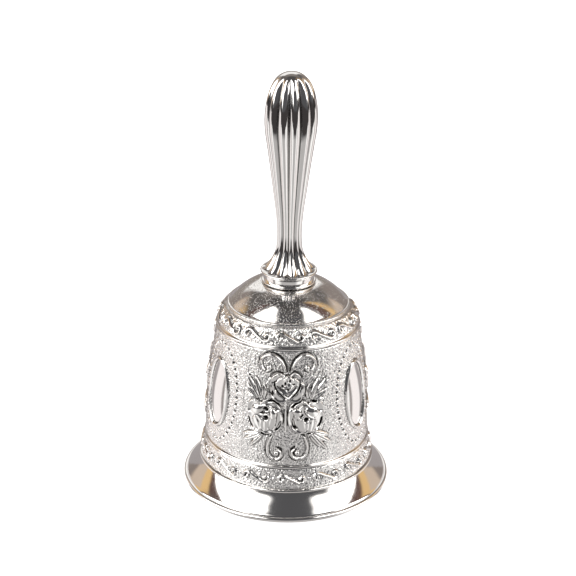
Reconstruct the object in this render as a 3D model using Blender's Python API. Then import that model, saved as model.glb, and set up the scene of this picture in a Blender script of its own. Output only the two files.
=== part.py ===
"""Altar hand bell: an embossed, plated bell on a fluted handle, with a hanging clapper.

The bell stands on its rim. The origin is the centre of the rim's underside, +Z up through
the handle. All sizes below are in millimetres; meshes are scaled to metres when they are made.
"""
import math

import bmesh
import bpy
from mathutils import Matrix, Vector

MM = 0.001
GAP = 0.3                     # clearance kept between pieces that are screwed hard together

# Bell shell, outside. Radii and heights of the turned bands, from the rim up.
RIM_R = 31.5                  # widest point, on the rolled rim bead
BEAD_R = 0.75                 # half thickness of the rim bead
LIP_TOP_R, LIP_TOP_Z = 26.2, 7.0
BAND_LOW_R, BAND_LOW_Z = 24.6, 15.4
BAND_TOP_R, BAND_TOP_Z = 21.2, 50.5
BAND_SWELL = 0.5              # how far the tall band bulges past a straight taper
DOME_FOOT_R, DOME_FOOT_Z = 17.5, 57.75
SEAT_R, SEAT_Z = 8.5, 63.7    # flat on the crown that the collar sits on
RIDGE_H = 0.45                # half thickness of the four dividing ridges
DOME_RIDGE_R, DOME_RIDGE_Z = 17.75, 57.2
TOP_RIDGE_Z, LOW_RIDGE_Z, LIP_RIDGE_Z = 51.2, 14.8, 7.6
# Curved parts of the outline: start, handle and end of each.
DOME_CURVE = ((DOME_FOOT_R, DOME_FOOT_Z), (12.8, 62.9), (SEAT_R, SEAT_Z))
UPPER_BORDER_CURVE = ((18.05, 56.7), (19.6, 55.8), (20.95, 52.0))
LOWER_BORDER_CURVE = ((24.85, 14.1), (25.2, 11.0), (25.95, 8.3))
LIP_CURVE = ((LIP_TOP_R, LIP_TOP_Z), (27.9, 4.1), (30.35, 1.9))
INNER_LIP_CURVE = ((29.2, 1.0), (26.2, 3.7), (24.3, 7.6))
WALL = 1.7
CROWN_WALL = 1.4
INNER_CROWN_BEND = (16.0, 60.0)
INNER_CROWN_R = 7.0           # flat under the crown that the washer bears on
SHELL_SEGMENTS = 48

# Fastening through the crown.
STUD_R = 1.95
STUD_HOLE_R = STUD_R + GAP
STUD_TOP_Z = 80.0
WASHER_R, WASHER_T = 6.0, 0.9
NUT_ACROSS_FLATS, NUT_T = 7.0, 3.2

# Collar and handle.
COLLAR_R, COLLAR_BEAD_R = 7.75, 8.1
COLLAR_T = 2.7
HANDLE_TOP_Z = 126.7
HANDLE_FOOT_R = 8.4
FOOT_BEAD = 0.35              # half thickness of the bead round the handle's foot
FLUTES = 12
FLUTE_DEPTH = 0.09            # groove depth as a share of the local radius
FLUTE_TURN = math.radians(-95.0)
BORE_DEPTH = 13.5

# Clapper.
EYE_R, EYE_WIRE_R = 2.9, 0.85
LINK_R, LINK_WIRE_R = 3.4, 0.7
ROD_EYE_R, ROD_EYE_WIRE_R = 2.5, 0.8
ROD_R = 1.1
BALL_R, BALL_Z = 6.3, 13.5
HANG = 0.25                   # slack where one ring hangs in the next

# Heights that follow from the sizes above.
CROWN_IN_Z = SEAT_Z - CROWN_WALL
WASHER_Z = CROWN_IN_Z - GAP - WASHER_T
NUT_Z = WASHER_Z - GAP - NUT_T
EYE_Z = NUT_Z - GAP - EYE_R - EYE_WIRE_R
LINK_PIVOT_Z = EYE_Z - EYE_R
LINK_Z = LINK_PIVOT_Z + EYE_WIRE_R + LINK_WIRE_R + HANG - LINK_R
ROD_PIVOT_Z = LINK_Z - LINK_R
ROD_EYE_Z = ROD_PIVOT_Z + LINK_WIRE_R + ROD_EYE_WIRE_R + HANG - ROD_EYE_R
COLLAR_Z = SEAT_Z + GAP
HANDLE_Z = COLLAR_Z + COLLAR_T + GAP


def clear_scene():
    for old in list(bpy.data.objects):
        bpy.data.objects.remove(old, do_unlink=True)


def metal(name, colour, roughness):
    material = bpy.data.materials.new(name)
    material.use_nodes = True
    shader = material.node_tree.nodes["Principled BSDF"]
    shader.inputs["Base Color"].default_value = (*colour, 1.0)
    shader.inputs["Roughness"].default_value = roughness
    shader.inputs["Metallic"].default_value = 1.0
    return material


def arc(centre_r, centre_z, radius, start, end, steps):
    """Points of a round corner, angles in degrees from +R towards +Z."""
    turns = [math.radians(start + (end - start) * i / steps) for i in range(steps + 1)]
    return [(centre_r + radius * math.cos(t), centre_z + radius * math.sin(t)) for t in turns]


def curve(start, handle, end, steps):
    """Points of a quadratic curve, leaving out its first point."""
    points = []
    for i in range(1, steps + 1):
        t = i / steps
        weights = ((1 - t) ** 2, 2 * t * (1 - t), t ** 2)
        points.append(tuple(sum(w * p[k] for w, p in zip(weights, (start, handle, end)))
                            for k in (0, 1)))
    return points


def turned(outline, segments):
    """Spin an outline of (radius, height) points into a closed body.

    An outline that starts and ends on the axis is open; any other is a closed loop.
    """
    mesh = bmesh.new()
    points = [mesh.verts.new((r * MM, 0.0, z * MM)) for r, z in outline]
    edges = [mesh.edges.new(pair) for pair in zip(points, points[1:])]
    if outline[0][0] > 0:
        edges.append(mesh.edges.new((points[-1], points[0])))
    bmesh.ops.spin(mesh, geom=points + edges, cent=(0, 0, 0), axis=(0, 0, 1),
                   angle=2 * math.pi, steps=segments, use_merge=True, use_duplicate=False)
    bmesh.ops.remove_doubles(mesh, verts=mesh.verts, dist=1e-6)
    bmesh.ops.recalc_face_normals(mesh, faces=mesh.faces)
    return mesh


def ring(major, wire, height, across, around=28, section=10):
    """A round wire ring standing upright, with its hole along the unit vector across."""
    section_points = arc(major, 0.0, wire, 0.0, 360.0 - 360.0 / section, section - 1)
    mesh = turned(section_points, around)
    tilt = Vector((0, 0, 1)).rotation_difference(Vector(across)).to_matrix().to_4x4()
    place = Matrix.Translation((0, 0, height * MM)) @ tilt
    bmesh.ops.transform(mesh, matrix=place, verts=mesh.verts)
    return mesh


def add_object(name, mesh, material, pivot_z=0.0):
    """Put a mesh in the scene, its origin on the axis at pivot_z millimetres."""
    data = bpy.data.meshes.new(name)
    bmesh.ops.translate(mesh, vec=(0, 0, -pivot_z * MM), verts=mesh.verts)
    mesh.to_mesh(data)
    mesh.free()
    data.shade_smooth()
    data.set_sharp_from_angle(angle=math.radians(35))
    data.materials.append(material)
    piece = bpy.data.objects.new(name, data)
    piece.location.z = pivot_z * MM
    bpy.context.scene.collection.objects.link(piece)
    return piece


def weld_on(piece, name, mesh):
    """Unite a helper shape with a piece, so both are one body."""
    helper = add_object(name, mesh, piece.data.materials[0])
    helper.hide_render = True
    helper.display_type = "WIRE"
    joint = piece.modifiers.new("Weld " + name, "BOOLEAN")
    joint.operation = "UNION"
    joint.solver = "EXACT"
    joint.object = helper


def band_radius(z):
    """Outside radius of the tall embossed band at height z."""
    t = (z - BAND_LOW_Z) / (BAND_TOP_Z - BAND_LOW_Z)
    return BAND_LOW_R + (BAND_TOP_R - BAND_LOW_R) * t + BAND_SWELL * math.sin(math.pi * t)


def outer_outline():
    """Outside of the shell, from the crown hole down to the flat under the rim."""
    dome_side = curve(*DOME_CURVE, 9)
    points = [(STUD_HOLE_R, SEAT_Z)]
    points += reversed(dome_side)
    points += [(DOME_FOOT_R, DOME_FOOT_Z)]
    points += arc(DOME_RIDGE_R, DOME_RIDGE_Z, RIDGE_H, 60, -60, 3)
    points += curve(*UPPER_BORDER_CURVE, 4)
    points += arc(BAND_TOP_R - 0.15, TOP_RIDGE_Z, RIDGE_H, 50, -60, 3)
    heights = [BAND_TOP_Z + (BAND_LOW_Z - BAND_TOP_Z) * i / 8 for i in range(9)]
    points += [(band_radius(z), z) for z in heights]
    points += arc(BAND_LOW_R + 0.05, LOW_RIDGE_Z, RIDGE_H, 60, -50, 3)
    points += curve(*LOWER_BORDER_CURVE, 4)
    points += arc(LIP_TOP_R, LIP_RIDGE_Z, RIDGE_H, 60, -60, 3)
    points += curve(*LIP_CURVE, 6)
    points += arc(RIM_R - BEAD_R, BEAD_R, BEAD_R, 110, -60, 7)
    points += [(RIM_R - BEAD_R, 0.0)]
    return points


def inner_outline():
    """Inside of the shell, from the rim's underside up to the crown hole."""
    points = [(29.9, 0.0), (29.2, 1.0)]
    points += curve(*INNER_LIP_CURVE, 4)
    heights = [BAND_LOW_Z + (BAND_TOP_Z - BAND_LOW_Z) * i / 6 for i in range(7)]
    points += [(band_radius(z) - WALL, z) for z in heights]
    points += curve((BAND_TOP_R - WALL, BAND_TOP_Z), INNER_CROWN_BEND, (INNER_CROWN_R, CROWN_IN_Z), 9)
    points += [(STUD_HOLE_R, CROWN_IN_Z)]
    return points


def make_bell_shell():
    mesh = turned(outer_outline() + inner_outline(), SHELL_SEGMENTS)
    add_object("bell_shell", mesh, metal("shell_plate", (0.74, 0.73, 0.71), 0.24))


def make_handle_collar():
    """Turned ferrule between the crown and the handle, with a bead at its foot."""
    foot_edge = COLLAR_Z + 0.9
    outline = [(STUD_HOLE_R, COLLAR_Z), (COLLAR_BEAD_R - 0.3, COLLAR_Z)]
    outline += arc(COLLAR_BEAD_R - 0.4, COLLAR_Z + 0.45, 0.4, -60, 80, 5)
    outline += [(COLLAR_R, foot_edge), (COLLAR_R, COLLAR_Z + COLLAR_T)]
    outline += [(STUD_HOLE_R, COLLAR_Z + COLLAR_T)]
    add_object("handle_collar", turned(outline, 36), metal("collar_plate", (0.80, 0.79, 0.77), 0.1))


def handle_radius_points():
    """Outside of the handle from its tip to its foot, before the flutes are cut."""
    tip = curve((0.0, HANDLE_TOP_Z), (4.6, HANDLE_TOP_Z), (6.5, 121.0), 6)
    bulb = curve((6.5, 121.0), (8.4, 115.0), (7.2, 107.5), 6)
    taper = curve((7.2, 107.5), (6.2, 101.2), (4.7, 90.0), 5)
    neck = curve((4.7, 90.0), (3.1, 79.6), (3.9, 74.2), 5)
    trumpet = curve((3.9, 74.2), (5.0, 69.6), (8.05, 67.8), 6)
    return [(0.0, HANDLE_TOP_Z)] + tip + bulb + taper + neck + trumpet


def flute_share(z):
    """1 along the fluted length, easing to 0 at the smooth tip and at the foot bead."""
    at_tip = (HANDLE_TOP_Z - 1.4 - z) / 4.0
    at_foot = (z - 67.9) / 0.6
    return max(0.0, min(1.0, at_tip, at_foot))


def cut_flutes(mesh):
    """Pull the handle's skin in along narrow grooves, leaving rounded lobes between."""
    for point in mesh.verts:
        radius = math.hypot(point.co.x, point.co.y)
        if radius < (STUD_HOLE_R + GAP) * MM:
            continue
        turn = math.atan2(point.co.y, point.co.x) - FLUTE_TURN
        lobe = abs(math.sin(FLUTES * turn / 2))
        scale = 1 - FLUTE_DEPTH * (1 - lobe) * flute_share(point.co.z / MM)
        point.co.x *= scale
        point.co.y *= scale


def make_handle():
    bore_end = HANDLE_Z + BORE_DEPTH
    outline = handle_radius_points()
    outline += arc(HANDLE_FOOT_R - FOOT_BEAD, HANDLE_Z + FOOT_BEAD, FOOT_BEAD, 75, -60, 5)
    outline += [(STUD_HOLE_R, HANDLE_Z), (STUD_HOLE_R, bore_end), (0.0, bore_end + 1.2)]
    mesh = turned(outline, FLUTES * 4)
    bmesh.ops.rotate(mesh, cent=(0, 0, 0), matrix=Matrix.Rotation(FLUTE_TURN, 3, "Z"),
                     verts=mesh.verts)
    cut_flutes(mesh)
    add_object("handle", mesh, metal("handle_plate", (0.78, 0.77, 0.75), 0.12))


def make_eye_bolt():
    """Threaded stud from the handle down through the crown, ending in a round eye."""
    foot = EYE_Z + EYE_R
    outline = [(0.0, STUD_TOP_Z), (STUD_R - 0.4, STUD_TOP_Z), (STUD_R, STUD_TOP_Z - 0.4)]
    outline += [(STUD_R, foot + 1.6), (1.2, foot + 0.2), (1.0, foot - 0.35), (0.0, foot - 0.35)]
    stud = add_object("eye_bolt", turned(outline, 24), metal("bolt_steel", (0.60, 0.60, 0.60), 0.3))
    weld_on(stud, "eye_of_bolt", ring(EYE_R, EYE_WIRE_R, EYE_Z, (0, 1, 0)))


def make_crown_washer():
    top = WASHER_Z + WASHER_T
    outline = [(STUD_HOLE_R, WASHER_Z), (WASHER_R - 0.15, WASHER_Z), (WASHER_R, WASHER_Z + 0.15)]
    outline += [(WASHER_R, top - 0.15), (WASHER_R - 0.15, top), (STUD_HOLE_R, top)]
    add_object("crown_washer", turned(outline, 36), metal("washer_steel", (0.66, 0.66, 0.65), 0.3))


def make_hex_nut():
    """Hexagon nut, its corners chamfered by the cone it was turned with."""
    corner = NUT_ACROSS_FLATS / 2 / math.cos(math.pi / 6)
    top = NUT_Z + NUT_T
    hexagon = bmesh.new()
    bmesh.ops.create_cone(hexagon, cap_ends=True, segments=6, radius1=corner * MM,
                          radius2=corner * MM, depth=NUT_T * MM)
    bmesh.ops.translate(hexagon, vec=(0, 0, (NUT_Z + NUT_T / 2) * MM), verts=hexagon.verts)
    nut = add_object("hex_nut", hexagon, metal("nut_steel", (0.62, 0.62, 0.61), 0.3))
    flat = NUT_ACROSS_FLATS / 2
    blank = [(STUD_HOLE_R, NUT_Z), (flat, NUT_Z), (corner + 0.1, NUT_Z + 0.45)]
    blank += [(corner + 0.1, top - 0.45), (flat, top), (STUD_HOLE_R, top)]
    helper = add_object("nut_blank", turned(blank, 36), nut.data.materials[0])
    helper.hide_render = True
    helper.display_type = "WIRE"
    trim = nut.modifiers.new("Chamfer and bore", "BOOLEAN")
    trim.operation = "INTERSECT"
    trim.solver = "EXACT"
    trim.object = helper


def make_clapper_link():
    mesh = ring(LINK_R, LINK_WIRE_R, LINK_Z, (1, 0, 0))
    add_object("clapper_link", mesh, metal("link_steel", (0.64, 0.64, 0.63), 0.25), LINK_PIVOT_Z)


def make_clapper_rod():
    """Straight rod with a round eye at its top and a threaded tail in the ball."""
    top = ROD_EYE_Z - ROD_EYE_R
    foot = BALL_Z - 1.0
    outline = [(0.0, top + 0.4), (0.9, top + 0.4), (ROD_R, top - 0.8), (ROD_R, foot + 0.3)]
    outline += [(ROD_R - 0.3, foot), (0.0, foot)]
    mesh = turned(outline, 16)
    rod = add_object("clapper_rod", mesh, metal("rod_steel", (0.62, 0.62, 0.62), 0.3), ROD_PIVOT_Z)
    weld_on(rod, "eye_of_rod", ring(ROD_EYE_R, ROD_EYE_WIRE_R, ROD_EYE_Z, (0, 1, 0)))


def make_clapper_ball():
    """Turned ball with a blind hole down from its top for the rod."""
    hole = ROD_R + GAP
    hole_edge = math.degrees(math.acos(hole / BALL_R))
    outline = arc(0.0, BALL_Z, BALL_R, hole_edge, -90, 16)
    outline[-1] = (0.0, BALL_Z - BALL_R)
    floor = BALL_Z - 1.0 - GAP
    outline = [(0.0, floor), (hole, floor)] + outline
    mesh = turned(outline, 32)
    add_object("clapper_ball", mesh, metal("ball_steel", (0.70, 0.69, 0.67), 0.22), ROD_PIVOT_Z)


clear_scene()
make_bell_shell()
make_handle_collar()
make_handle()
make_eye_bolt()
make_crown_washer()
make_hex_nut()
make_clapper_link()
make_clapper_rod()
make_clapper_ball()
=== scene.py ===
import math

import bmesh
import bpy
import numpy as np
from mathutils import Matrix, Vector


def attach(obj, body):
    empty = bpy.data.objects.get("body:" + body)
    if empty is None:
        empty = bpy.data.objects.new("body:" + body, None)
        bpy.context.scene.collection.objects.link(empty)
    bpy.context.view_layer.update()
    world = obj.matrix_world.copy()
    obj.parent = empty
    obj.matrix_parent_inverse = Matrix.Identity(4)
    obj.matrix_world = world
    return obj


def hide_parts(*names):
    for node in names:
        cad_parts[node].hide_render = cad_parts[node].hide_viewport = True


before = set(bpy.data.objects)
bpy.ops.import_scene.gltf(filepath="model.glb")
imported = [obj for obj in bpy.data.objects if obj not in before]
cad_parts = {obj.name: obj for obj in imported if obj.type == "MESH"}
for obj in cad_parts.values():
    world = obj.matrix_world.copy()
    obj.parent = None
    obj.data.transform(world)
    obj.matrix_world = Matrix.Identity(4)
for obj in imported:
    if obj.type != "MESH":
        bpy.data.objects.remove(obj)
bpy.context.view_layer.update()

# --- Bell casting ---------------------------------------------------------------
# The bell itself: a thin brass casting, turned, silver plated and polished. It has
# a domed shoulder, a flared lip and a rolled rim bead. The zones that carry relief
# are sunk a little between four thin ridges, so that the ornament lies in them.
MM = 0.001                    # outlines are in millimetres: (radius, height over the rim)
FINE_TURN = 384               # steps round a turned piece
SUNK = 0.6                    # how far a relief zone lies behind its ridges
RIDGE = 0.45                  # half thickness of a ridge
RIDGES = ((17.75, 57.2), (21.05, 51.2), (24.65, 14.8), (26.2, 7.6))    # from the dome down
STUD_HOLE_R = 2.25
WALL = 1.7
BAND_FOOT, BAND_HEAD = (24.6, 15.4), (21.2, 50.5)
BAND_SWELL = 0.5              # how far the tall band bulges past a straight taper
SEAT, DOME_FOOT = (8.5, 63.7), (17.5, 57.75)
DOME_BEND = (12.8, 62.9)
UPPER_BORDER = ((18.05, 56.7), (19.6, 55.8), (20.95, 52.0))
LOWER_BORDER = ((24.85, 14.1), (25.2, 11.0), (25.95, 8.3))
LIP = ((26.2, 7.0), (27.9, 4.1), (30.35, 1.9))
INNER_LIP = ((29.2, 1.0), (26.2, 3.7), (24.3, 7.6))
RIM_BEAD, RIM_BEAD_R = (30.75, 0.75), 0.75
CROWN_IN = (7.0, 62.3)        # edge of the flat under the crown
CROWN_IN_BEND = (16.0, 60.0)


def curve(start, bend, end, steps):
    """Points of a smooth bend from start to end, without the first."""
    a, b, c = Vector(start), Vector(bend), Vector(end)
    ts = [i / steps for i in range(1, steps + 1)]
    return [tuple((1 - t) ** 2 * a + 2 * t * (1 - t) * b + t * t * c) for t in ts]


def arc(centre, radius, start, end, steps):
    """Points round a centre, in degrees, from start to end."""
    turns = [math.radians(start + (end - start) * i / steps) for i in range(steps + 1)]
    return [(centre[0] + radius * math.cos(t), centre[1] + radius * math.sin(t))
            for t in turns]


def band_wall(z):
    """Radius of the tall band's ground at a height."""
    t = (z - BAND_FOOT[1]) / (BAND_HEAD[1] - BAND_FOOT[1])
    return BAND_FOOT[0] + (BAND_HEAD[0] - BAND_FOOT[0]) * t + BAND_SWELL * math.sin(math.pi * t)


upper_wall = [UPPER_BORDER[0]] + curve(*UPPER_BORDER, 12)
lower_wall = [LOWER_BORDER[0]] + curve(*LOWER_BORDER, 12)
band = [(band_wall(z), z) for z in np.linspace(BAND_HEAD[1], BAND_FOOT[1], 25)]


def sunk(wall):
    """A zone of the outline set back from its ridges, for relief to lie in."""
    return [wall[0]] + [(r - SUNK, z) for r, z in wall] + [wall[-1]]


casting_outline = (
    [(STUD_HOLE_R, SEAT[1]), SEAT]
    + curve(SEAT, DOME_BEND, DOME_FOOT, 24)
    + arc(RIDGES[0], RIDGE, 100, -70, 10)
    + sunk(upper_wall)
    + arc(RIDGES[1], RIDGE, 80, -80, 10)
    + sunk(band)
    + arc(RIDGES[2], RIDGE, 80, -80, 10)
    + sunk(lower_wall)
    + arc(RIDGES[3], RIDGE, 80, -60, 10)
    + [LIP[0]] + curve(*LIP, 24)
    + arc(RIM_BEAD, RIM_BEAD_R, 105, -90, 16)
    + [(29.9, 0.0), INNER_LIP[0]] + curve(*INNER_LIP, 10)
    + [(band_wall(z) - WALL, z) for z in (BAND_FOOT[1], 22.0, 29.0, 36.0, 43.0, BAND_HEAD[1])]
    + curve((BAND_HEAD[0] - WALL, BAND_HEAD[1]), CROWN_IN_BEND, CROWN_IN, 12)
    + [(STUD_HOLE_R, CROWN_IN[1])]
)


def swept(bm, steps, angle):
    """Spins what is in bm about the upright axis: one part of the sweep is spun, and
    the others are turned copies of it."""
    parts = 12
    bmesh.ops.spin(bm, geom=bm.verts[:] + bm.edges[:], cent=(0, 0, 0), axis=(0, 0, 1),
                   angle=angle / parts, steps=steps // parts)
    part = bm.verts[:] + bm.edges[:] + bm.faces[:]
    for i in range(1, parts):
        copied = bmesh.ops.duplicate(bm, geom=part)["geom"]
        bmesh.ops.rotate(bm, verts=[g for g in copied if isinstance(g, bmesh.types.BMVert)],
                         cent=(0, 0, 0), matrix=Matrix.Rotation(angle / parts * i, 3, "Z"))
    bmesh.ops.remove_doubles(bm, verts=bm.verts[:], dist=1e-6)


def turned(name, outline, steps, closed=True):
    """A solid turned round the upright axis from an outline of radii and heights."""
    bm = bmesh.new()
    verts = [bm.verts.new((0, -r * MM, z * MM)) for r, z in outline]
    for a, b in zip(verts, verts[1:]):
        bm.edges.new((a, b))
    if closed:
        bm.edges.new((verts[-1], verts[0]))
    swept(bm, steps, math.tau)
    return made(name, bm)


def made(name, bm):
    """A finished, smooth-shaded object from a bmesh, its faces outward."""
    bmesh.ops.recalc_face_normals(bm, faces=bm.faces[:])
    mesh = bpy.data.meshes.new(name)
    bm.to_mesh(mesh)
    bm.free()
    mesh.shade_smooth()
    mesh.set_sharp_from_angle(angle=math.radians(50))
    piece = bpy.data.objects.new(name, mesh)
    bpy.context.scene.collection.objects.link(piece)
    return piece


class Term:
    """One value in a finish: Python arithmetic on it adds the Math nodes."""

    def __init__(self, finish, socket):
        self.finish, self.socket = finish, socket

    def math(self, operation, a, b):
        return self.finish.node("ShaderNodeMath", {"operation": operation}, {0: a, 1: b})

    def __add__(self, other):
        return self.math("ADD", self, other)

    def __sub__(self, other):
        return self.math("SUBTRACT", self, other)

    def __rsub__(self, other):
        return self.math("SUBTRACT", other, self)

    def __mul__(self, other):
        return self.math("MULTIPLY", self, other)

    __radd__, __rmul__ = __add__, __mul__


class Finish:
    """A material and its nodes."""

    def __init__(self, owner):
        owner.use_nodes = True
        self.owner, self.tree = owner, owner.node_tree
        self.tree.nodes.clear()

    def node(self, kind, settings=None, inputs=None, output=0):
        """Adds a node: its settings first, then the values or links of its sockets."""
        made_node = self.tree.nodes.new(kind)
        for key, value in (settings or {}).items():
            setattr(made_node, key, value)
        for key, value in (inputs or {}).items():
            if isinstance(value, Term):
                self.tree.links.new(value.socket, made_node.inputs[key])
            else:
                made_node.inputs[key].default_value = value
        return Term(self, made_node.outputs[output]) if made_node.outputs else None

    def place(self):
        """Where a point lies on the piece, in millimetres."""
        spot = self.node("ShaderNodeTexCoord", output="Object")
        return self.node("ShaderNodeVectorMath", {"operation": "SCALE"},
                         {0: spot, "Scale": 1 / MM}, "Vector")

    def noise(self, size, detail, place):
        """Cloudy noise, its clouds about size across."""
        return self.node("ShaderNodeTexNoise", {"noise_dimensions": "3D"},
                         {"Vector": place, "Scale": 1 / size, "Detail": detail})

    def attribute(self, name):
        """A value kept on the mesh's points."""
        return self.node("ShaderNodeAttribute", {"attribute_name": name}, output="Fac")

    def between(self, share, a, b):
        """A colour that goes from a to b as share goes from 0 to 1."""
        inputs = {0: share}
        inputs[6], inputs[7] = [c if isinstance(c, Term) else (*c, 1) for c in (a, b)]
        return self.node("ShaderNodeMix", {"data_type": "RGBA"}, inputs, 2)

    def step(self, value, low, high):
        """Goes smoothly from 0 to 1 as value goes from low to high."""
        return self.node("ShaderNodeMapRange", {"interpolation_type": "SMOOTHSTEP"},
                         {0: value, 1: low, 2: high})

    def relief(self, height, depth):
        """Fine relief, depth millimetres high where height is 1."""
        return self.node("ShaderNodeBump", None, {
            "Height": height, "Distance": depth * MM, "Strength": 1.0}, "Normal")

    def metal(self, colour, roughness, normal):
        """Ends the finish as bare metal."""
        shader = self.node("ShaderNodeBsdfPrincipled", None, {
            "Base Color": colour, "Roughness": roughness, "Metallic": 1.0, "Normal": normal})
        self.node("ShaderNodeOutputMaterial", None, {"Surface": shader})
        return self.owner


SILVER = (0.94, 0.93, 0.915)
# Tarnish and painted shade: the dark colour of the chased hollows and cuts, and of the flute
# lines.
TARNISH_AND_SHADE = (0.03, 0.026, 0.023)


def polished_plate(name):
    """Bright silver plate: almost a mirror, with soft waves and wipe marks."""
    finish = Finish(bpy.data.materials.new(name))
    place = finish.place()
    waves = finish.noise(9.0, 2, place)
    grain = finish.noise(0.35, 3, place)
    colour = finish.between(waves * 0.25, SILVER, (0.62, 0.56, 0.50))
    normal = finish.relief(waves * 2.0 + grain * 0.05, 0.05)
    return finish.metal(colour, 0.045 + waves * 0.05, normal)


bell_casting = turned("bell_casting", casting_outline, FINE_TURN)


def shell_plate():
    """The casting's finish: polished outside, a little pitted on the dome, dull and
    sandy inside the bell."""
    finish = Finish(bpy.data.materials.new("shell_plate"))
    place = finish.place()
    height_up = finish.node("ShaderNodeSeparateXYZ", None, {0: place}, 2)
    on_dome = finish.step(height_up, 52.0, 58.0)
    inside = finish.attribute("inside")
    waves = finish.noise(9.0, 2, place)
    sand = finish.noise(0.5, 4, place)
    pits = finish.step(finish.noise(0.45, 1, place), 0.61, 0.68) * on_dome
    bright = finish.between(waves * 0.2 + pits * 0.15, SILVER, (0.60, 0.54, 0.48))
    dull = finish.between(sand, (0.42, 0.39, 0.35), (0.62, 0.59, 0.55))
    colour = finish.between(inside, bright, dull)
    roughness = 0.075 + waves * 0.05 + pits * 0.15 + inside * (0.25 + sand * 0.2)
    height = waves * 1.6 + pits * 1.4 + inside * sand * 4.0
    return finish.metal(colour, roughness, finish.relief(height, 0.05))


casting_mesh = bell_casting.data
spots = np.empty(len(casting_mesh.vertices) * 3)
casting_mesh.vertices.foreach_get("co", spots)
spots = spots.reshape(-1, 3) / MM
spot_radius = np.hypot(spots[:, 0], spots[:, 1])
inner_z = [0.0, 1.0, 3.4, 7.6, 15.4, 50.5, 60.0, 62.4]
inner_r = [29.9, 29.2, 26.3, 24.3, 22.9, 19.5, 12.4, 7.0]
inside = (spot_radius < np.interp(spots[:, 2], inner_z, inner_r) + 0.4) & (spots[:, 2] < 63)
casting_mesh.attributes.new("inside", "FLOAT", "POINT").data.foreach_set(
    "value", inside.astype(np.float32))
casting_mesh.materials.append(shell_plate())
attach(bell_casting, "bell")
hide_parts("bell_shell")

# --- Chased relief on the tall band -----------------------------------------------
# Three like panels, each a third of the way round, cast with the bell and chased:
# a spray of three roses, and a plain oval medallion in a ring of beads, on a
# stippled ground. The ground is dull; the roses, scrolls and ovals are burnished.
PANEL_STEPS, PANEL_ROWS = 336, 230
PANEL_START = -32.0           # degrees from the front
THIRD = 120.0
SPRAY_LIFT = 1.6              # how far the spray's heights are drawn out
PATH_STEPS = 6                # short lines to each stretch of a path
PETAL_EDGE = 0.28
GRAIN_PITCH = 0.5             # one punched grain to each cell of this size
GRAIN_COLUMNS, GRAIN_ROWS = 94, 72
GRAIN_FOOT = 15.0             # height of the lowest row of cells
GRAIN_SIZE, GRAIN_HEIGHT = 0.68, 0.25
HOLLOW_DEPTH, POCKET_DEPTH = 0.36, 0.12     # below its surroundings, where the tarnish and painted shade are full
EDGE_FADE = 0.35              # relief dies out this near a zone's edges
GROUND_ROUGH, BURNISHED_ROUGH = 0.2, 0.09


def flow(points):
    """A smooth path through points."""
    p = np.array(points, float)
    ends = np.vstack([2 * p[0] - p[1], p, 2 * p[-1] - p[-2]])
    path = []
    for a, b, c, d in zip(ends, ends[1:], ends[2:], ends[3:]):
        for t in np.linspace(0, 1, PATH_STEPS, endpoint=False):
            path.append(0.5 * (2 * b + (c - a) * t + (2 * a - 5 * b + 4 * c - d) * t * t
                               + (3 * b - a - 3 * c + d) * t ** 3))
    return np.array(path + [p[-1]])


def ease(value, low, high):
    """Goes smoothly from 0 to 1 as value goes from low to high."""
    t = np.clip((value - low) / (high - low), 0, 1)
    return t * t * (3 - 2 * t)


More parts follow.
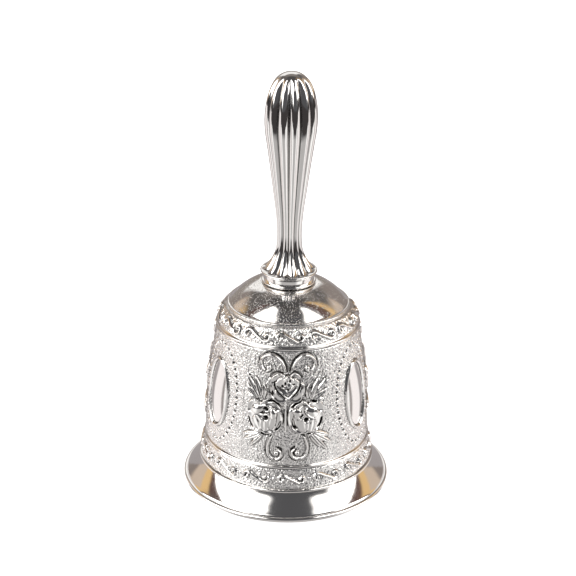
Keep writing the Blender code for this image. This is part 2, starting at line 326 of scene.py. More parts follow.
class Chasing:
    """Raised work over a grid of points: how far across and up each one lies, how
    high it stands above the ground, and how far it is burnished, or cut and darkened with
    painted shade."""

    def __init__(self, across, up):
        self.across, self.up = across, up
        self.height = np.zeros(across.shape)
        self.bright = np.zeros(across.shape)
        self.cut = np.zeros(across.shape)

    def lay(self, surface, share, bright=1.0):
        """Puts a surface over what is there, where share is 1."""
        self.height = self.height * (1 - share) + surface * share
        self.bright = self.bright * (1 - share) + bright * share
        self.cut = self.cut * (1 - share)

    def grow(self, surface, bright=1.0):
        """Raises what is there to a surface, where that is higher."""
        higher = (surface > self.height) & (surface > 0)
        self.height = np.where(higher, surface, self.height)
        self.bright = np.where(higher & (surface > 0.02), bright, self.bright)
        self.cut = np.where(higher, 0, self.cut)

    def carve(self, depth, share, painted_shade=1.0):
        """Cuts into what is there, and darkens the cut with painted shade where share nears 1.
        """
        self.height = self.height - depth * share
        self.cut = np.maximum(self.cut, painted_shade * np.clip(1.5 * share - 0.2, 0, 1))

    def oval(self, centre, radii, turn=0.0):
        """Distance from a centre, as a share of the oval's radius there, and the
        places along its two axes."""
        c, s = math.cos(math.radians(turn)), math.sin(math.radians(turn))
        x, y = self.across - centre[0], self.up - centre[1]
        x, y = x * c + y * s, y * c - x * s
        return np.hypot(x / radii[0], y / radii[1]), x, y

    def knob(self, centre, radius, height):
        """A round bead."""
        d, _, _ = self.oval(centre, (radius, radius))
        self.grow(height * np.sqrt(np.clip(1 - d * d, 0, 1)))

    def pit(self, centre, radii, depth, turn=0.0, painted_shade=0.6):
        """A punched hollow, darkened inside with painted shade."""
        d, _, _ = self.oval(centre, radii, turn)
        self.carve(depth, np.clip(1 - d ** 2, 0, 1), painted_shade)

    def petal(self, centre, radii, turn, foot, lip, crown=0.0, ribs=0):
        """An oval petal with a curled rim, laid over what is behind it."""
        d, x, y = self.oval(centre, radii, turn)
        surface = foot + lip * np.clip(d, 0, 1) ** 4 + crown * (1 - np.clip(d, 0, 1) ** 2)
        if ribs:
            surface = surface + 0.02 * np.cos(x / radii[0] * ribs * math.pi)
        self.lay(surface, 1 - ease(d, 1 - PETAL_EDGE / min(radii), 1.0))

    def track(self, points):
        """Nearest distance to a path, how far along it that is, and on which side."""
        path = flow(points)
        gaps = np.hypot(*np.diff(path, axis=0).T)
        reached = np.concatenate([[0], np.cumsum(gaps)])
        best = np.full(self.across.shape, 1e9)
        along, side = np.zeros(best.shape), np.ones(best.shape)
        for a, b, start, gap in zip(path, path[1:], reached, gaps):
            x, y = self.across - a[0], self.up - a[1]
            dx, dy = (b - a) / gap
            t = np.clip(x * dx + y * dy, 0, gap)
            d = np.hypot(x - dx * t, y - dy * t)
            near = d < best
            best = np.where(near, d, best)
            along = np.where(near, (start + t) / reached[-1], along)
            side = np.where(near, np.where(dx * y - dy * x > 0, 1, -1), side)
        return best, along, side

    def strand(self, points, width, height, ends=(1.0, 0.6), foot=0.0, moat=0):
        """A rounded strand along a path, thinner towards its ends. A moat of 1 or -1 cuts
        a line along its left or right side, darkened with painted shade."""
        d, along, side = self.track(points)
        half = width / 2 * np.interp(along, [0, 0.2, 0.75, 1], [ends[0], 1, 1, ends[1]])
        round_top = np.sqrt(np.clip(1 - (d / half) ** 2, 0, 1))
        self.grow(np.where(d < half, foot + height * round_top, -9))
        if moat:
            beside = np.exp(-((d - half - 0.14) / 0.22) ** 2) * (side * moat > 0) * (d > half)
            self.carve(0.75, beside)

    def groove(self, points, width, depth):
        """A cut line along a path, fading at its ends, darkened with painted shade."""
        d, along, _ = self.track(points)
        fade = np.interp(along, [0, 0.25, 0.75, 1], [0.2, 1, 1, 0.2])
        self.carve(depth, fade * np.exp(-(2 * d / width) ** 2))

    def leaf(self, base, tip, width, height):
        """A pointed leaf with a cut midrib."""
        a, b = np.array(base, float), np.array(tip, float)
        length = np.hypot(*(b - a))
        dx, dy = (b - a) / length
        x, y = self.across - a[0], self.up - a[1]
        t = (x * dx + y * dy) / length
        off = y * dx - x * dy
        half = width / 2 * np.sin(math.pi * np.clip(t, 0, 1) ** 0.85) ** 0.8 + 1e-6
        d = np.abs(off) / half
        inside_leaf = (t > 0) & (t < 1) & (d < 1)
        surface = height * (0.25 + 0.75 * np.sqrt(np.clip(1 - d * d, 0, 1)))
        surface = surface - 0.5 * height * np.exp(-(off / 0.12) ** 2)
        self.grow(np.where(inside_leaf, surface, -9))

    def stipple(self, grains):
        """Pebbled ground: a grain at a chance spot of each cell of a mesh of cells
        that repeats across the panel. It fills only what is not burnished."""
        columns, rows = grains.shape[:2]
        cell_x, cell_y = self.cell
        ix, iy = np.floor(cell_x).astype(int), np.floor(cell_y).astype(int)
        pebbles = np.zeros(self.across.shape)
        for sx in (-1, 0, 1):
            for sy in (-1, 0, 1):
                jx, jy = ix + sx, iy + sy
                grain = grains[jx % columns, np.clip(jy, 0, rows - 1)]
                d = np.hypot(cell_x - jx - grain[..., 0], cell_y - jy - grain[..., 1])
                size = GRAIN_SIZE * (0.6 + 0.5 * grain[..., 2])
                top = np.sqrt(np.clip(1 - (d / size) ** 2, 0, 1))
                pebbles = np.maximum(pebbles, top * (0.55 + 0.45 * grain[..., 3]))
        self.grains = pebbles * GRAIN_HEIGHT * (1 - self.bright)


def relief_ring(name, wall, rows, steps, start, sweep, chase):
    """A closed, curved slab that lies in a sunk zone. chase(turn, up) works its outer
    face: it takes the points' angles and heights, and returns the chasing."""
    wall = sorted(wall, key=lambda point: point[1])
    zs, rs = np.array([z for _, z in wall]), np.array([r for r, _ in wall])
    ups = np.linspace(zs[0], zs[-1], rows)
    outer = [(float(np.interp(z, zs, rs)), float(z)) for z in ups]
    inner = [(float(np.interp(z, zs, rs)) - SUNK - 0.1, float(z))
             for z in np.linspace(zs[-1], zs[0], 9)]
    full = sweep >= 360
    bm = bmesh.new()
    verts = [bm.verts.new((r * MM * math.sin(start), -r * MM * math.cos(start), z * MM))
             for r, z in outer + inner]
    for a, b in zip(verts, verts[1:] + verts[:1]):
        bm.edges.new((a, b))
    swept(bm, steps, math.radians(sweep))
    if not full:
        ends = [e for e in bm.edges if e.is_boundary]
        bmesh.ops.holes_fill(bm, edges=ends, sides=0)
    bmesh.ops.recalc_face_normals(bm, faces=bm.faces[:])
    mesh = bpy.data.meshes.new(name)
    bm.to_mesh(mesh)
    bm.free()
    co = np.empty(len(mesh.vertices) * 3)
    mesh.vertices.foreach_get("co", co)
    co = co.reshape(-1, 3) / MM
    radius = np.hypot(co[:, 0], co[:, 1])
    face = np.flatnonzero(radius > np.interp(co[:, 2], zs, rs) - 0.1)
    turn = (np.arctan2(co[face, 0], -co[face, 1]) - start + 1e-6) % math.tau + start - 1e-6
    columns = steps if full else steps + 1
    order = np.lexsort((co[face, 2], np.round((turn - start) / math.radians(sweep) * steps)))
    grid = face[order].reshape(columns, rows)
    turn = turn[order].reshape(columns, rows)
    up = co[grid, 2]
    work = chase(turn, up)
    fade = ease(up, zs[0], zs[0] + EDGE_FADE) * (1 - ease(up, zs[-1] - EDGE_FADE, zs[-1]))
    height, bright = (work.height + work.grains) * fade, work.bright
    # hollow: tarnish and painted shade, darkest in recesses, in the cuts and between the stipple
    # grains.
    hollow = np.clip((soften(work.height, 4) - work.height) / HOLLOW_DEPTH, 0, 1)
    pocket = np.clip((soften(work.grains, 3) - work.grains) / POCKET_DEPTH, 0, 1)
    hollow = np.maximum(np.maximum(hollow, work.cut), 0.6 * ease(pocket, 0.35, 0.85)) * fade
    grown = (radius[grid] + height) / radius[grid]
    co[grid, 0] *= grown
    co[grid, 1] *= grown
    mesh.vertices.foreach_set("co", (co * MM).ravel())
    for label, values in (("bright", bright), ("hollow", hollow)):
        filled = np.zeros(len(mesh.vertices), np.float32)
        filled[grid] = values
        mesh.attributes.new(label, "FLOAT", "POINT").data.foreach_set("value", filled)
    mesh.shade_smooth()
    on_face = np.zeros(len(mesh.vertices), bool)
    on_face[grid] = True
    flat = [not all(on_face[v] for v in polygon.vertices) for polygon in mesh.polygons]
    mesh.polygons.foreach_set("use_smooth", [not f for f in flat])
    piece = bpy.data.objects.new(name, mesh)
    bpy.context.scene.collection.objects.link(piece)
    return piece


def soften(values, reach):
    """Local average over a grid."""
    weights = np.exp(-np.linspace(-2, 2, 2 * reach + 1) ** 2)
    weights /= weights.sum()
    padded = np.pad(values, reach, mode="edge")
    padded = sum(w * padded[i:i + values.shape[0]] for i, w in enumerate(weights))
    return sum(w * padded[:, i:i + values.shape[1]] for i, w in enumerate(weights))


def rose_top(work):
    """The upright rose at the top of the spray, seen from its side."""
    work.petal((-2.3, 41.9), (2.5, 2.3), 20, 0.30, 0.45)
    work.petal((2.1, 42.0), (2.1, 2.5), -10, 0.30, 0.45)
    work.petal((-3.2, 39.0), (1.5, 2.9), -8, 0.30, 0.50)
    work.petal((4.0, 39.3), (1.25, 2.3), -8, 0.35, 0.30, 0.25)
    work.petal((-1.5, 37.7), (2.5, 2.2), 40, 0.35, 0.45, 0.25)
    work.petal((2.1, 37.8), (2.5, 2.1), -42, 0.35, 0.45, 0.25)
    work.petal((-0.9, 40.7), (2.3, 2.7), 12, 0.70, 0.35)
    work.petal((1.6, 40.7), (1.9, 2.6), -14, 0.70, 0.35)
    work.strand([(-3.0, 41.9), (-2.9, 40.6), (-2.2, 39.3), (-1.0, 38.1), (0.3, 36.9)],
                0.5, 0.15, (0.6, 1), 0.85)
    work.strand([(3.2, 42.0), (3.1, 40.6), (2.5, 39.2), (1.5, 38.1), (0.3, 36.9)],
                0.5, 0.15, (0.6, 1), 0.85)
    work.petal((0.4, 41.6), (1.6, 2.3), 0, 0.75, 0.50)
    work.petal((0.7, 41.9), (0.85, 1.5), -12, 0.80, 0.55)
    for line in ([(-3.4, 41.7), (-3.2, 40.4), (-2.5, 39.1), (-1.4, 37.9), (-0.3, 36.9)],
                 [(3.6, 41.7), (3.4, 40.4), (2.8, 39.0), (1.9, 37.9), (0.8, 36.9)],
                 [(-5.2, 42.6), (-4.2, 44.0), (-2.6, 44.6), (-0.9, 44.1)],
                 [(1.0, 44.3), (2.4, 44.7), (3.7, 44.0), (4.4, 42.6)],
                 [(-5.0, 40.4), (-4.9, 38.6), (-4.0, 37.0)]):
        work.groove(line, 0.5, 0.8)
    for spot, size in (((-1.2, 40.7), (0.45, 0.6)), ((0.2, 39.8), (1.0, 0.3)),
                       ((-0.5, 41.5), (0.25, 0.7)), ((0.8, 42.3), (0.3, 0.6)),
                       ((1.8, 41.3), (0.4, 0.4)), ((-4.1, 38.2), (0.35, 1.0))):
        work.pit(spot, size, 0.5)


def rose_left(work):
    """The open rose at the lower left of the spray."""
    work.petal((-8.7, 32.6), (2.9, 3.2), 30, 0.30, 0.50)
    work.petal((-4.7, 33.2), (3.3, 2.9), -35, 0.30, 0.50)
    work.petal((-2.9, 29.6), (1.9, 3.7), -12, 0.35, 0.50)
    work.petal((-6.2, 27.6), (3.3, 2.4), 0, 0.35, 0.45, 0, ribs=4)
    work.petal((-9.3, 29.0), (2.2, 3.3), 22, 0.40, 0.45)
    work.petal((-6.0, 31.2), (3.2, 3.6), 0, 0.50, 0.40)
    work.petal((-8.1, 28.9), (1.9, 2.3), 25, 0.60, 0.30, 0.25, ribs=3)
    work.petal((-5.9, 28.5), (1.6, 2.1), 0, 0.65, 0.30, 0.20, ribs=3)
    work.petal((-4.2, 29.6), (1.3, 2.6), -10, 0.65, 0.30, 0.20, ribs=2)
    work.petal((-8.2, 33.1), (2.1, 1.4), 20, 0.60, 0.25, 0.40)
    work.petal((-3.7, 32.3), (1.05, 1.8), 12, 0.75, 0.20, 0.45)
    work.pit((-5.9, 33.3), (0.9, 0.8), 0.6, 20)
    work.pit((-5.9, 30.6), (0.8, 0.8), 0.6)
    work.strand([(-7.4, 31.9), (-6.2, 31.8), (-5.0, 32.2)], 0.5, 0.4, (0.5, 0.5), 0.75)
    for line in ([(-11.3, 30.2), (-10.9, 28.3), (-9.9, 26.8)],
                 [(-7.6, 25.7), (-6.0, 25.1), (-4.4, 25.6)],
                 [(-1.7, 29.6), (-2.1, 28.0), (-3.4, 26.4)],
                 [(-6.0, 35.6), (-4.0, 35.8), (-2.5, 35.1), (-0.8, 33.6)]):
        work.groove(line, 0.65, 1.0)


def rose_right(work):
    """The open rose at the lower right of the spray."""
    work.petal((7.9, 32.6), (2.9, 3.3), -30, 0.30, 0.50)
    work.petal((3.6, 33.1), (3.2, 2.9), 35, 0.30, 0.50)
    work.petal((1.8, 29.9), (1.5, 3.7), 8, 0.35, 0.50)
    work.petal((5.4, 27.7), (3.3, 2.4), 0, 0.35, 0.45, 0, ribs=4)
    work.petal((9.0, 29.3), (1.9, 3.4), -18, 0.40, 0.45)
    work.petal((5.3, 31.2), (3.2, 3.6), 0, 0.50, 0.40)
    work.petal((6.9, 28.5), (1.7, 2.2), -10, 0.60, 0.30, 0.25, ribs=3)
    work.petal((4.6, 28.5), (1.5, 2.2), 10, 0.65, 0.30, 0.20, ribs=2)
    work.petal((3.1, 29.9), (1.2, 2.0), 20, 0.65, 0.30, 0.25)
    work.petal((7.2, 32.5), (2.3, 1.6), -30, 0.60, 0.25, 0.50)
    work.petal((3.0, 32.7), (1.2, 1.5), 35, 0.70, 0.25, 0.35)
    work.pit((5.6, 30.1), (0.8, 0.8), 0.6)
    work.pit((4.3, 31.4), (0.5, 0.7), 0.5, -30)
    work.strand([(5.1, 33.4), (5.6, 32.2), (6.6, 31.2), (7.8, 30.6)], 0.5, 0.4,
                (0.5, 0.5), 0.75)
    for line in ([(10.4, 30.4), (10.1, 28.6), (9.0, 27.1)],
                 [(4.0, 25.6), (5.5, 25.3), (7.0, 25.8)],
                 [(1.9, 30.4), (2.1, 28.6), (2.9, 27.0)],
                 [(4.4, 36.0), (2.4, 35.0), (1.1, 33.5)],
                 [(7.2, 35.7), (9.0, 35.2)]):
        work.groove(line, 0.65, 1.0)


def spray(work):
    """Leaves, scrolls and three roses."""
    for base, tip, width in (
            ((-7.2, 36.2), (-9.2, 42.9), 1.7), ((-7.6, 36.2), (-12.0, 43.2), 1.5),
            ((-8.2, 36.0), (-12.1, 39.8), 1.4), ((-8.8, 35.6), (-11.8, 37.2), 1.2),
            ((-6.4, 36.4), (-6.6, 41.0), 1.5),
            ((6.7, 36.2), (9.2, 42.6), 1.7), ((7.2, 36.2), (12.1, 42.5), 1.5),
            ((7.8, 35.9), (12.2, 38.9), 1.4), ((8.4, 35.4), (11.2, 36.2), 1.2),
            ((5.9, 36.4), (6.3, 41.0), 1.5),
            ((-7.6, 25.8), (-13.2, 24.2), 1.5), ((-7.4, 25.4), (-13.1, 22.2), 1.6),
            ((-7.0, 25.0), (-10.9, 20.6), 1.5),
            ((7.6, 26.2), (13.2, 23.9), 1.5), ((7.4, 25.8), (14.0, 21.3), 1.6),
            ((7.2, 25.6), (12.6, 19.2), 1.5), ((6.8, 25.4), (10.2, 20.6), 1.4)):
        work.leaf(base, tip, width, 0.65)
    # Each scroll has a moat on one side, darkened with painted shade.
    for moat, path in (
            (-1, [(-0.5, 45.0), (-0.9, 46.4), (-1.7, 47.9), (-3.0, 49.0), (-4.6, 49.5),
                 (-6.2, 49.1), (-7.3, 48.0), (-7.6, 46.6), (-7.0, 45.3), (-5.9, 44.7),
                 (-4.9, 45.1)]),
            (1, [(1.3, 45.0), (1.7, 46.4), (2.4, 47.8), (3.6, 49.0), (5.0, 49.5),
                  (6.6, 49.1), (7.7, 48.0), (8.0, 46.6), (7.4, 45.3), (6.3, 44.8),
                  (5.4, 45.2)]),
            (-1, [(-4.5, 24.4), (-5.1, 22.6), (-5.4, 20.6), (-5.0, 18.8), (-3.9, 17.7),
                 (-2.6, 17.6), (-1.6, 18.5), (-1.6, 19.9), (-2.5, 20.7)]),
            (1, [(5.3, 24.6), (5.9, 22.6), (6.1, 20.6), (5.5, 18.7), (4.3, 17.8),
                  (3.0, 17.8), (1.9, 18.6), (1.6, 20.0), (2.4, 21.0)])):
        work.strand(path, 1.0, 0.6, (0.7, 0.6), moat=moat)
    for spot in ((-5.2, 45.8), (5.7, 45.8), (-2.9, 19.6), (3.2, 19.7)):
        work.knob(spot, 0.85, 0.75)
    work.strand([(-0.3, 36.0), (-0.3, 31.0), (-0.2, 26.4)], 0.8, 0.45, (1, 0.6))
    rose_left(work)
    rose_right(work)
    rose_top(work)


def medallion(work):
    """A plain domed oval in a rounded frame, with a ring of beads round it."""
    frame_a, frame_b, middle = 5.2, 10.5, 32.8
    d, x, y = work.oval((0, middle), (frame_a, frame_b))
    slope = np.hypot(x / frame_a ** 2, y / frame_b ** 2) / np.maximum(d, 0.05)
    off = (d - 1) / np.maximum(slope, 0.02)
    dome = 1.1 - 0.85 * np.clip(d / 0.86, 0, 1) ** 2
    work.lay(dome, 1 - ease(off, -0.80, -0.62))
    work.grow(np.where(np.abs(off) < 0.48,
                       0.85 * np.sqrt(np.clip(1 - (off / 0.48) ** 2, 0, 1)), -9))
    turns = np.linspace(0, math.tau, 721)
    ring = np.stack([8.6 * np.sin(turns), 33.0 + 15.3 * np.cos(turns)], 1)
    reached = np.concatenate([[0], np.cumsum(np.hypot(*np.diff(ring, axis=0).T))])
    beads = 36
    for i in range(beads):
        at, between = [[float(np.interp((i + share) / beads * reached[-1], reached, ring[:, k]))
                        for k in (0, 1)] for share in (0, 0.5)]
        work.knob(at, 0.62, 0.42)
        # Each pit between the beads is darkened fully with painted shade.
        work.pit(between, (0.5, 0.5), 0.8, painted_shade=1.0)


def chase_panel(turn, up):
    """The whole third: spray, medallion and ground."""
    radius = np.interp(up, [z for _, z in reversed(band)], [r for r, _ in reversed(band)])
    work = Chasing(turn * radius, up)
    spray(work)
    work.height *= SPRAY_LIFT
    oval = Chasing((turn - math.radians(THIRD / 2)) * radius, up)
    medallion(oval)
    work.grow(oval.height)
    work.height = np.where(oval.height < 0, oval.height, work.height)
    work.cut = np.maximum(work.cut, oval.cut)
    work.cell = ((turn - math.radians(PANEL_START)) / math.radians(THIRD) * GRAIN_COLUMNS,
                 (up - GRAIN_FOOT) / GRAIN_PITCH)
    work.stipple(np.random.default_rng(7).random((GRAIN_COLUMNS, GRAIN_ROWS, 4)))
    return work


def chased_plate(name):
    """Plate over chased work: burnished on top, dull and darkened in the hollows with tarnish
    and painted shade.
    """
    finish = Finish(bpy.data.materials.new(name))
    place = finish.place()
    bright = finish.attribute("bright")
    hollow = finish.attribute("hollow")
    grain = finish.noise(0.22, 3, place)
    waves = finish.noise(6.0, 2, place)
    # Tarnish and painted shade darken the hollows, cuts and pockets.
    shade_and_tarnish = finish.step(hollow, 0.12, 0.62)
    colour = finish.between(shade_and_tarnish + waves * 0.04, SILVER, TARNISH_AND_SHADE)
    roughness = GROUND_ROUGH - bright * (GROUND_ROUGH - BURNISHED_ROUGH) + shade_and_tarnish * 0.1
    normal = finish.relief(grain * (0.9 - bright * 0.8), 0.08)
    return finish.metal(colour, roughness, normal)


panel_plate = chased_plate("panel_plate")
first_panel = relief_ring("rose_panel_front", band, PANEL_ROWS, PANEL_STEPS,
                          math.radians(PANEL_START), THIRD, chase_panel)
panels = [first_panel]
for name, angle in (("rose_panel_right", THIRD), ("rose_panel_left", 2 * THIRD)):
    copy = bpy.data.objects.new(name, first_panel.data.copy())
    copy.data.transform(Matrix.Rotation(math.radians(angle), 4, "Z"))
    bpy.context.scene.collection.objects.link(copy)
    panels.append(copy)
for panel in panels:
    panel.data.materials.append(panel_plate)
    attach(panel, "bell")
    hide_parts("bell_shell")

# --- Scroll borders -----------------------------------------------------------------
# Two narrow friezes cast with the bell, one under the shoulder and one over the lip:
# a running scroll with a leafy sprig between its turns, on the same stippled ground.
SCROLL = [(-2.5, -0.1), (-2.9, -0.7), (-3.6, -0.5), (-3.8, 0.4), (-3.2, 1.1), (-2.1, 1.1),
          (-1.0, 0.5), (0.0, 0.0), (1.0, -0.5), (2.1, -1.1), (3.2, -1.1), (3.8, -0.4),
          (3.6, 0.5), (2.9, 0.7), (2.5, 0.1)]
BORDER_GRAIN_COLUMNS, BORDER_GRAIN_ROWS = 18, 16       # to each repeat of the scroll


def frieze(name, wall, rows, steps, repeats, first, seed):
    """A full ring of scrolls."""
    zs = [z for _, z in reversed(wall)]
    rs = [r for r, _ in reversed(wall)]
    middle = (zs[0] + zs[-1]) / 2
    pitch = math.tau / repeats
    cells = repeats * BORDER_GRAIN_COLUMNS

    def chase(turn, up):
        radius = np.interp(middle, zs, rs)
        local = ((turn - first) / pitch + 0.5) % 1 - 0.5
        work = Chasing(local * pitch * radius, up - middle)
        work.strand(SCROLL, 0.95, 0.85, (0.7, 0.7))
        for side in (-1, 1):
            work.knob((side * 2.55, side * 0.1), 0.62, 0.72)
            work.leaf((side * 0.5, -side * 0.1), (side * 1.5, side * 1.5), 0.9, 0.5)
            work.leaf((side * 4.2, side * 0.2), (side * 4.9, -side * 1.5), 0.8, 0.45)
        work.knob((pitch * radius / 2, 0), 0.5, 0.5)
        work.knob((-pitch * radius / 2, 0), 0.5, 0.5)
        work.cell = (turn / math.tau * cells, (up - zs[0]) / GRAIN_PITCH + 1)
        work.stipple(np.random.default_rng(seed).random((cells, BORDER_GRAIN_ROWS, 4)))
        return work

    ring = relief_ring(name, wall, rows, steps, 0.0, 360, chase)
    ring.data.materials.append(chased_plate(name + "_plate"))
    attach(ring, "bell")
    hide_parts("bell_shell")


frieze("upper_border", upper_wall, 38, 840, 13, math.radians(2), 11)
frieze("lower_border", lower_wall, 44, 960, 15, math.radians(4), 12)

# --- Collar and handle ----------------------------------------------------------------
# The collar is a turned ring of plated brass between crown and handle. The handle is
# a plated casting with twelve flutes that swell with it and die out at its smooth cap.
FLUTES = 12
FLUTE_TURN = math.radians(-95)
FLUTE_DEPTH = 0.15            # as a share of the radius
BORE_TOP = 80.8
HANDLE_POINTS = ((0, 126.7), (6.5, 121.0), (7.2, 107.5), (4.7, 90.0), (3.9, 74.2), (7.85, 67.65))
HANDLE_BENDS = ((4.6, 126.7), (8.4, 115.0), (6.2, 101.2), (3.1, 79.6), (5.0, 69.6))

collar = turned("collar", [
    (STUD_HOLE_R, 64.0), (7.65, 64.0)]
    + arc((7.72, 64.35), 0.35, -90, 80, 10) + [(7.5, 64.72), (7.5, 64.84)]
    + curve((7.5, 64.84), (7.68, 65.7), (7.6, 66.6), 8)
    + [(7.5, 66.7), (STUD_HOLE_R, 66.7)], 192)
collar.data.materials.append(polished_plate("collar_plate"))
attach(collar, "bell")
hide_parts("handle_collar")

handle_outline = [HANDLE_POINTS[0]]
for start, bend, end in zip(HANDLE_POINTS, HANDLE_BENDS, HANDLE_POINTS[1:]):
    handle_outline += curve(start, bend, end, 24)
handle_outline += arc((8.05, 67.33), 0.33, 110, -90, 10)
handle_outline += [(7.4, 67.0), (STUD_HOLE_R, 67.0), (STUD_HOLE_R, BORE_TOP), (0, BORE_TOP)]
handle = turned("fluted_handle", handle_outline, 288, closed=False)
mesh = handle.data
co = np.empty(len(mesh.vertices) * 3)
mesh.vertices.foreach_get("co", co)
co = co.reshape(-1, 3) / MM
radius = np.hypot(co[:, 0], co[:, 1])
turn = np.arctan2(co[:, 0], -co[:, 1]) - FLUTE_TURN
lobe = np.abs(np.sin(FLUTES * turn / 2))
reach = ease(co[:, 2], 67.6, 67.9) * (1 - ease(co[:, 2], 123.5, 126.0))
outside = (radius > 2.6) | (co[:, 2] > 100)
cut = FLUTE_DEPTH * reach * outside * (1 - lobe)
co[:, 0] *= 1 - cut
co[:, 1] *= 1 - cut
mesh.vertices.foreach_set("co", (co * MM).ravel())
# hollow: the bottom of each flute, where painted shade darkens it.
mesh.attributes.new("hollow", "FLOAT", "POINT").data.foreach_set(
    "value", (reach * outside * np.clip(1 - lobe * 3.4, 0, 1)).astype(np.float32))


def fluted_plate():
    """Polished plate, with a dark line of painted shade along each flute."""
    finish = Finish(bpy.data.materials.new("handle_plate"))
    place = finish.place()
    hollow = finish.attribute("hollow")
    waves = finish.noise(7.0, 2, place)
    colour = finish.between(hollow * 0.95 + waves * 0.1, SILVER, TARNISH_AND_SHADE)
    return finish.metal(colour, 0.05 + waves * 0.05 + hollow * 0.2,
                        finish.relief(waves * 1.5, 0.05))


mesh.materials.append(fluted_plate())
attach(handle, "bell")
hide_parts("handle")

# --- Hardware inside the bell -------------------------------------------------------
# Plain zinc-plated steel, hidden when the bell stands. The eye bolt goes up through nut,
# washer, crown and collar into the handle and clamps them. A wire link hangs in its eye,
# and the clapper's rod hangs in the link, with a turned ball on its tail.
STEEL, CLOUDY_STEEL = (0.50, 0.49, 0.47), (0.35, 0.343, 0.329)


def dull_steel(name):
    """Zinc-plated steel, a little cloudy."""
    finish = Finish(bpy.data.materials.new(name))
    place = finish.place()
    cloud = finish.noise(2.5, 4, place)
    fine = finish.noise(0.2, 2, place)
    shade = finish.between(cloud, STEEL, CLOUDY_STEEL)
    return finish.metal(shade, 0.22 + cloud * 0.25, finish.relief(fine, 0.02))


for node, slot in (("eye_bolt", "bolt_steel"), ("crown_washer", "washer_steel"),
                   ("hex_nut", "nut_steel"), ("clapper_link", "link_steel"),
                   ("clapper_rod", "rod_steel"), ("clapper_ball", "ball_steel")):
    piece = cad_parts[node]
    steel = dull_steel(slot)
    for place in piece.material_slots:
        place.material = steel

# --- Studio -----------------------------------------------------------------------
# A white sheet under and behind the bell, soft boxes either side of the camera, a warm
# dim room, and the camera a little above, looking down. The sheet and the room are plain
# white to the camera; the bell mirrors the light and dark stretches set out here.
TO_DEGREES = 57.2958
bpy.ops.mesh.primitive_plane_add(size=1)
floor = bpy.context.object
floor.name = "floor"
floor.data.transform(Matrix.Translation((0, 0.88, -0.0002)) @ Matrix.Diagonal((2.4, 2.24, 1, 1)))
paper = Finish(bpy.data.materials.new("paper"))
spot = paper.node("ShaderNodeTexCoord", output="Object")
away = paper.node("ShaderNodeVectorMath", {"operation": "LENGTH"}, {0: spot}, "Value")
sides = [paper.node("ShaderNodeSeparateXYZ", None, {0: spot}, i) for i in (0, 1)]
bearing = paper.node("ShaderNodeMath", {"operation": "ABSOLUTE"}, {
    0: paper.node("ShaderNodeMath", {"operation": "ARCTAN2"},
                  {0: sides[0], 1: 0 - sides[1]}) * TO_DEGREES})
sheet = paper.between(paper.step(bearing, 26, 44), (0.50, 0.485, 0.48), (1.1, 1.08, 1.07))
sheet = paper.between(paper.step(bearing, 60, 64), sheet, (0.34, 0.31, 0.30))
sheet = paper.between(paper.step(bearing, 70, 74), sheet, (1.0, 0.94, 0.93))
sheet = paper.between(paper.step(bearing, 108, 114), sheet, (0.38, 0.35, 0.35))
beyond = paper.step(away, 0.19, 0.27) * (1 - paper.step(bearing, 28, 48))
sheet = paper.between(beyond, sheet, (0.05, 0.05, 0.05))
matt = paper.node("ShaderNodeBsdfDiffuse", None, {"Color": (0.9, 0.9, 0.9, 1)})
glow = paper.node("ShaderNodeEmission", None, {"Color": (1, 1, 1, 1), "Strength": 0.75})
both = paper.node("ShaderNodeAddShader", None, {0: matt, 1: glow})
far = paper.node("ShaderNodeEmission", None, {"Color": sheet, "Strength": 1.0})
seen = paper.node("ShaderNodeLightPath", output="Is Camera Ray")
paper.node("ShaderNodeOutputMaterial", None, {
    "Surface": paper.node("ShaderNodeMixShader", None, {0: seen, 1: far, 2: both})})
floor.data.materials.append(paper.owner)

scene = bpy.context.scene
scene.view_settings.view_transform = "Standard"
scene.view_settings.look = "None"

room = Finish(bpy.data.worlds.new("studio"))
scene.world = room.owner
ray = room.node("ShaderNodeTexCoord", output="Generated")
east, north, high = [room.node("ShaderNodeSeparateXYZ", None, {0: ray}, i) for i in range(3)]
up_angle = room.node("ShaderNodeMath", {"operation": "ARCSINE"}, {0: high}) * TO_DEGREES
round_angle = room.node("ShaderNodeMath", {"operation": "ARCTAN2"},
                        {0: east, 1: 0 - north}) * TO_DEGREES
off_front = room.node("ShaderNodeMath", {"operation": "ABSOLUTE"}, {0: round_angle - 8})
off_side = room.node("ShaderNodeMath", {"operation": "ABSOLUTE"}, {0: round_angle})


def patch(value, low, high, soft):
    """1 where value lies from low to high, fading over soft at both ends."""
    rise = room.step(value, low - soft, low + soft)
    fall = room.step(value, high - soft, high + soft)
    return rise - fall


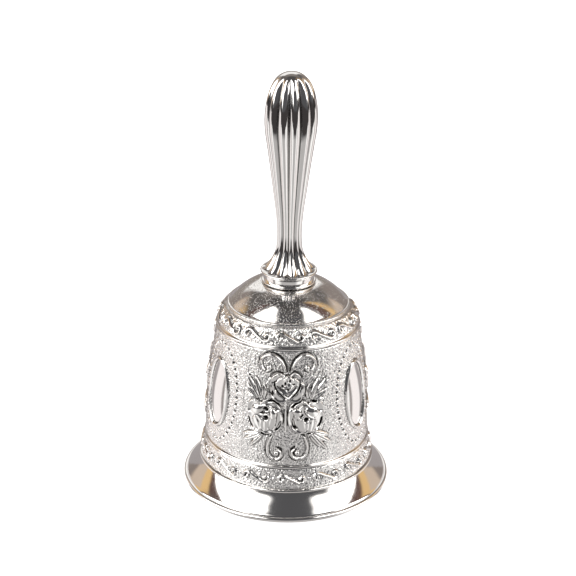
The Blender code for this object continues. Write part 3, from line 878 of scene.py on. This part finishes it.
colour = room.between(room.step(off_front, 30, 60), (0.09, 0.09, 0.095), (0.16, 0.15, 0.15))
colour = room.between(room.step(off_side, 86, 92), colour, (0.12, 0.07, 0.06))
colour = room.between(room.step(off_side, 103, 107), colour, (0.78, 0.52, 0.24))
colour = room.between(room.step(off_side, 114, 118), colour, (0.62, 0.50, 0.40))
colour = room.between(room.step(off_side, 130, 136), colour, (0.26, 0.22, 0.20))
colour = room.between(room.step(off_front, 146, 158), colour, (0.30, 0.265, 0.24))
colour = room.between(room.step(up_angle, 26, 42) * room.step(off_front, 100, 112), colour,
                      (0.13, 0.12, 0.115))
colour = room.between(room.step(up_angle, 60, 75), colour, (0.08, 0.075, 0.075))
over_back = room.step(north, 0.22, 0.62) * room.step(up_angle, 46, 58)
colour = room.between(over_back, colour, (0.30, 0.265, 0.24))
back_wall = patch(up_angle, 18, 47, 3) * room.step(off_front, 150, 160)
colour = room.between(back_wall, colour, (1.0, 0.98, 0.96))
colour = room.between(patch(up_angle, -91, 0, 2) * (1 - room.step(off_front, 112, 130)),
                      colour, (0.05, 0.045, 0.045))
box_start = (29 + room.step(up_angle, 36, 28) * 22 + room.step(up_angle, 38, 54) * 7
             + room.step(up_angle, 54, 71) * 20)
box_end = 104 - 0.4 * up_angle
in_box = room.step(off_front - box_start, -7, 7) * room.step(box_end - off_side, -1.5, 1.5)
colour = room.between(in_box * patch(up_angle, 4, 72, 2), colour, (2.8, 2.75, 2.7))
sill = patch(up_angle, -4, 10, 1) * patch(off_side, 58, 84, 2)
colour = room.between(sill, colour, (0.03, 0.03, 0.03))
light = room.node("ShaderNodeBackground", None, {"Color": colour, "Strength": 1.0})
white = room.node("ShaderNodeBackground", None, {"Color": (1, 1, 1, 1), "Strength": 1.0})
seen = room.node("ShaderNodeLightPath", output="Is Camera Ray")
mixed = room.node("ShaderNodeMixShader", None, {0: seen, 1: light, 2: white})
room.node("ShaderNodeOutputWorld", None, {"Surface": mixed})

camera = bpy.data.objects.new("camera", bpy.data.cameras.new("camera"))
scene.collection.objects.link(camera)
camera.data.lens = 92.03
camera.data.sensor_width = 36
camera.data.clip_start = 0.01
look_down, roll = math.radians(23.047), math.radians(0.914)
forward = Vector((0, math.cos(look_down), -math.sin(look_down)))
level = Vector((1, 0, 0))
upright = level.cross(forward)
right = level * math.cos(roll) + upright * math.sin(roll)
top = upright * math.cos(roll) - level * math.sin(roll)
camera.matrix_world = Matrix.Translation((-0.000168, -0.4, 0.23148)) @ Matrix(
    (right, top, -forward)).transposed().to_4x4()
scene.camera = camera
